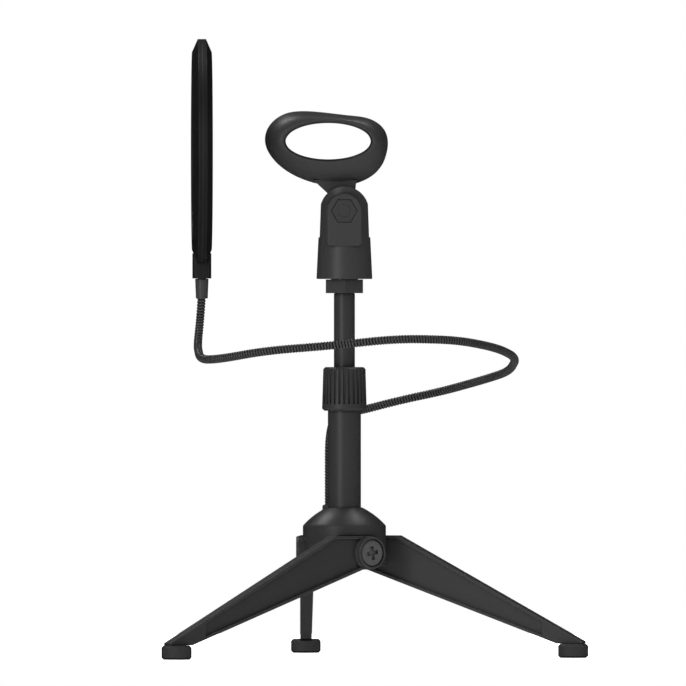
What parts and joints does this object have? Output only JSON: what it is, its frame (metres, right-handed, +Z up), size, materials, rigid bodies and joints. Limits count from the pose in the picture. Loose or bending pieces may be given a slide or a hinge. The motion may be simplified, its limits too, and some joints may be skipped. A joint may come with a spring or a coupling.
{
  "type": "microphone stand",
  "caption": "Desktop microphone stand with folding legs, a telescopic column, a slip-in oval clip and a round mesh pop filter on a flexible arm.",
  "frame": {"origin": "on the floor under the column's axis, at the level of the feet's undersides", "axes": "+Z up along the column; the microphone slips through the clip along Y, its wide mouth towards +Y; the filter stands on the -X side"},
  "size_m": [0.2466, 0.2497, 0.3583],
  "materials": {
    "hub_plastic": "satin, finely textured",
    "leg_metal": "satin black, finely textured web",
    "tube_metal": "satin black",
    "clutch_plastic": "satin",
    "clip_plastic": "satin, soft sheen",
    "screw_metal": "dark, satin",
    "thread_brass": "plain",
    "bare_steel": "plain",
    "bush_plastic": "plain",
    "foot_rubber": "matt",
    "arm_metal": "satin black, finely ridged",
    "ferrule_metal": "satin dark grey",
    "hoop_plastic": "satin",
    "mesh_fabric": "fine weave",
    "washer_plastic": "plain"
  },
  "bodies": {
    "stand": {"hub_housing": "hub_plastic", "hub_bottom_cover": "hub_plastic", "hub_centre_screw": "bare_steel", "leg_pivot_screws": "screw_metal", "leg_pivot_washers": "washer_plastic", "lower_tube": "tube_metal", "lower_tube_plug": "bare_steel", "tube_thread_sleeve": "bush_plastic", "tube_guide_bush": "bush_plastic", "clutch_collet": "bush_plastic", "gooseneck_base_ferrule": "ferrule_metal", "gooseneck_base_nut": "bare_steel", "gooseneck_1": "arm_metal"},
    "clutch": {"clutch_collar": "clutch_plastic"},
    "upper_column": {"upper_tube": "tube_metal", "upper_tube_end_bush": "bush_plastic", "thread_stud": "bare_steel", "lock_nut": "screw_metal"},
    "yoke": {"clip_yoke": "clip_plastic", "yoke_thread_insert": "thread_brass", "clip_bolt": "screw_metal", "clip_nut": "screw_metal", "clip_washers": "washer_plastic"},
    "clip": {"clip_sleeve": "clip_plastic"},
    "arm_2": {"gooseneck_2": "arm_metal"},
    "arm_3": {"gooseneck_3": "arm_metal"},
    "arm_4": {"gooseneck_4": "arm_metal"},
    "arm_5": {"gooseneck_5": "arm_metal", "gooseneck_tip_ferrule": "ferrule_metal"},
    "filter": {"filter_socket": "hoop_plastic", "right_hoop": "hoop_plastic", "left_hoop": "hoop_plastic", "hoop_spacer": "hoop_plastic", "right_mesh": "mesh_fabric", "left_mesh": "mesh_fabric"},
    "left_leg": {"leg_left": "leg_metal", "foot_left": "foot_rubber", "foot_screw_left": "bare_steel"},
    "right_leg": {"leg_right": "leg_metal", "foot_right": "foot_rubber", "foot_screw_right": "bare_steel"},
    "back_leg": {"leg_back": "leg_metal", "foot_back": "foot_rubber", "foot_screw_back": "bare_steel"}
  },
  "joints": [
    {"name": "leg_left_fold", "type": "hinge", "parent": "stand", "child": "left_leg", "pos_m": [0.0127, -0.01747, 0.0605], "axis": [0.5878, -0.809, 0], "range_deg": [0, 65]},
    {"name": "leg_right_fold", "type": "hinge", "parent": "stand", "child": "right_leg", "pos_m": [0.00879, 0.01973, 0.0605], "axis": [0.4067, 0.9135, 0], "range_deg": [0, 65]},
    {"name": "leg_back_fold", "type": "hinge", "parent": "stand", "child": "back_leg", "pos_m": [-0.0216, -0.00015, 0.0605], "axis": [-1, -0.007, 0], "range_deg": [0, 65]},
    {"name": "clutch_turn", "type": "hinge", "parent": "stand", "child": "clutch", "pos_m": [0, 0, 0.155], "axis": [0, 0, 1], "range_deg": [0, 90]},
    {"name": "column_slide", "type": "slide", "parent": "stand", "child": "upper_column", "axis": [0, 0, 1], "range_m": [-0.037, 0.03]},
    {"name": "clip_swivel", "type": "hinge", "parent": "upper_column", "child": "yoke", "pos_m": [0, 0, 0.2245], "axis": [0, 0, 1], "range_deg": [-90, 90]},
    {"name": "clip_tilt", "type": "hinge", "parent": "yoke", "child": "clip", "pos_m": [0, 0, 0.2586], "axis": [0, 1, 0], "range_deg": [-60, 75]},
    {"name": "arm_base_bend", "type": "hinge", "parent": "stand", "child": "arm_2", "pos_m": [-0.009, 0.01425, 0.1075], "axis": [1, 0, 0], "range_deg": [-8, 12]},
    {"name": "arm_side_bend", "type": "hinge", "parent": "arm_2", "child": "arm_3", "pos_m": [0.098, 0.01325, 0.1695], "axis": [0, 0, 1], "range_deg": [-12, 12]},
    {"name": "arm_front_bend", "type": "hinge", "parent": "arm_3", "child": "arm_4", "pos_m": [0.01225, -0.08525, 0.183], "axis": [0, 1, 0], "range_deg": [-20, 5]},
    {"name": "arm_tip_bend", "type": "hinge", "parent": "arm_4", "child": "arm_5", "pos_m": [-0.08325, 0.0032, 0.20175], "axis": [0, 1, 0], "range_deg": [-30, 8]},
    {"name": "filter_swivel", "type": "hinge", "parent": "arm_5", "child": "filter", "pos_m": [-0.0827, 0.0035, 0.2194], "axis": [0, 0, 1], "range_deg": [-45, 45]}
  ]
}
